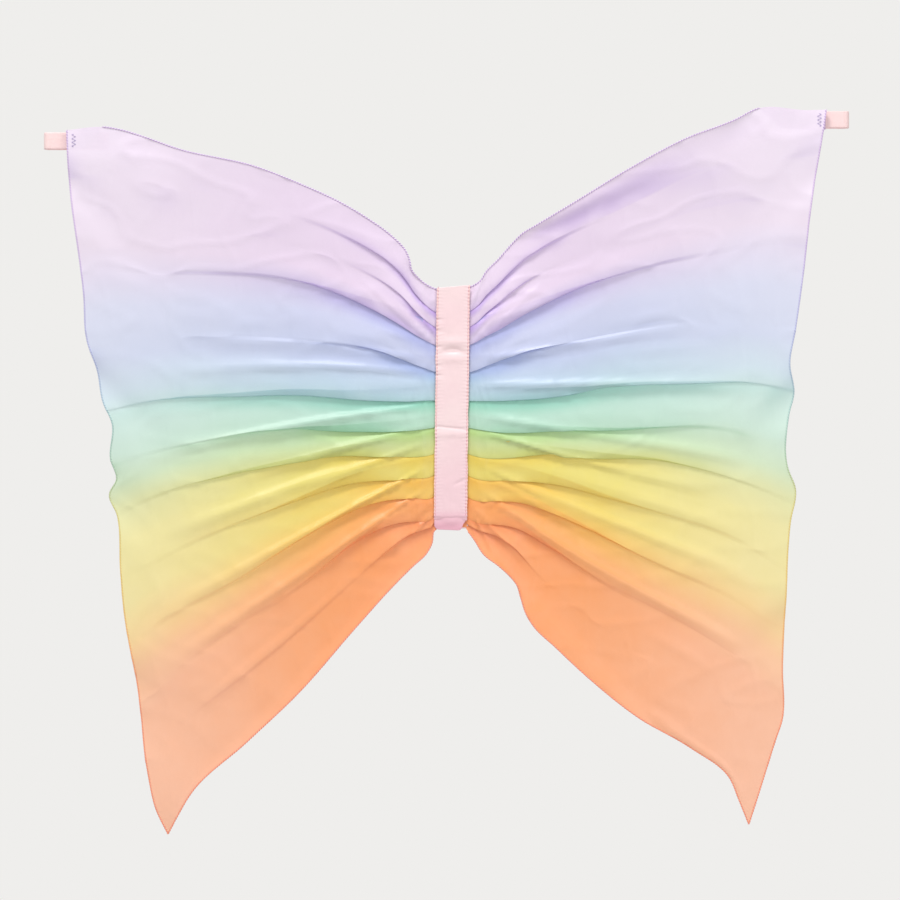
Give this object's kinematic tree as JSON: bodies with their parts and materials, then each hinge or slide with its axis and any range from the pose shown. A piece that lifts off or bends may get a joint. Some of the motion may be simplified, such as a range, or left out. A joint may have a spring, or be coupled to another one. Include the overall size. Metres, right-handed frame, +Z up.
{
  "type": "fairy wings",
  "caption": "Dress-up wings of sheer rainbow silk, gathered under a satin centre ribbon and worn by elastic wrist and shoulder loops.",
  "frame": {"origin": "middle of the back ribbon's outer face, which rests between the wearer's shoulder blades", "axes": "+X along the wingspan, to the right as seen from the decorated side; +Y out of the back ribbon, towards the wearer; +Z up"},
  "size_m": [0.9275, 0.1005, 0.833],
  "materials": {
    "silk": "sheer lightweight silk, dyed in horizontal rainbow bands from lilac at the top to coral at the bottom",
    "hem_thread": "rolled hem, overcast with fine thread dyed together with the silk",
    "satin_ribbon": "pale pink satin",
    "sewing_thread": "fine matt thread",
    "elastic": "soft pink knitted elastic"
  },
  "bodies": {
    "spine": {"front_ribbon": "satin_ribbon", "back_ribbon": "satin_ribbon", "gathered_silk": "silk", "gathering_threads": "sewing_thread", "strap_tacks": "sewing_thread", "left_ribbon_stitches": "sewing_thread", "right_ribbon_stitches": "sewing_thread", "left_strap_tails": "elastic", "right_strap_tails": "elastic"},
    "left_wing": {"left_wing_silk": "silk", "left_top_hem": "hem_thread", "left_outer_hem": "hem_thread", "left_bottom_hem": "hem_thread", "left_corner_facing": "silk", "left_wrist_tack": "sewing_thread"},
    "right_wing": {"right_wing_silk": "silk", "right_top_hem": "hem_thread", "right_outer_hem": "hem_thread", "right_bottom_hem": "hem_thread", "right_corner_facing": "silk", "right_wrist_tack": "sewing_thread"},
    "left_cuff": {"left_wrist_loop": "elastic"},
    "right_cuff": {"right_wrist_loop": "elastic"},
    "left_strap": {"left_shoulder_strap": "elastic"},
    "right_strap": {"right_shoulder_strap": "elastic"}
  },
  "joints": [
    {"name": "left_wing_flap", "type": "hinge", "parent": "spine", "child": "left_wing", "pos_m": [-0.02115, -0.0023, 0], "axis": [0, 0, 1], "range_deg": [-80, 80]},
    {"name": "right_wing_flap", "type": "hinge", "parent": "spine", "child": "right_wing", "pos_m": [0.02115, -0.0023, 0], "axis": [0, 0, -1], "range_deg": [-80, 80]},
    {"name": "left_cuff_swing", "type": "hinge", "parent": "left_wing", "child": "left_cuff", "pos_m": [-0.4435, -0.0001, 0.3075], "axis": [0, 0, 1], "range_deg": [0, 75]},
    {"name": "right_cuff_swing", "type": "hinge", "parent": "right_wing", "child": "right_cuff", "pos_m": [0.428, -0.0001, 0.332], "axis": [0, 0, -1], "range_deg": [0, 75]},
    {"name": "left_strap_swing", "type": "hinge", "parent": "spine", "child": "left_strap", "pos_m": [-0.017, -0.0011, 0], "axis": [0, 0, 1], "range_deg": [0, 75]},
    {"name": "right_strap_swing", "type": "hinge", "parent": "spine", "child": "right_strap", "pos_m": [0.017, -0.0011, 0], "axis": [0, 0, -1], "range_deg": [0, 75]}
  ]
}
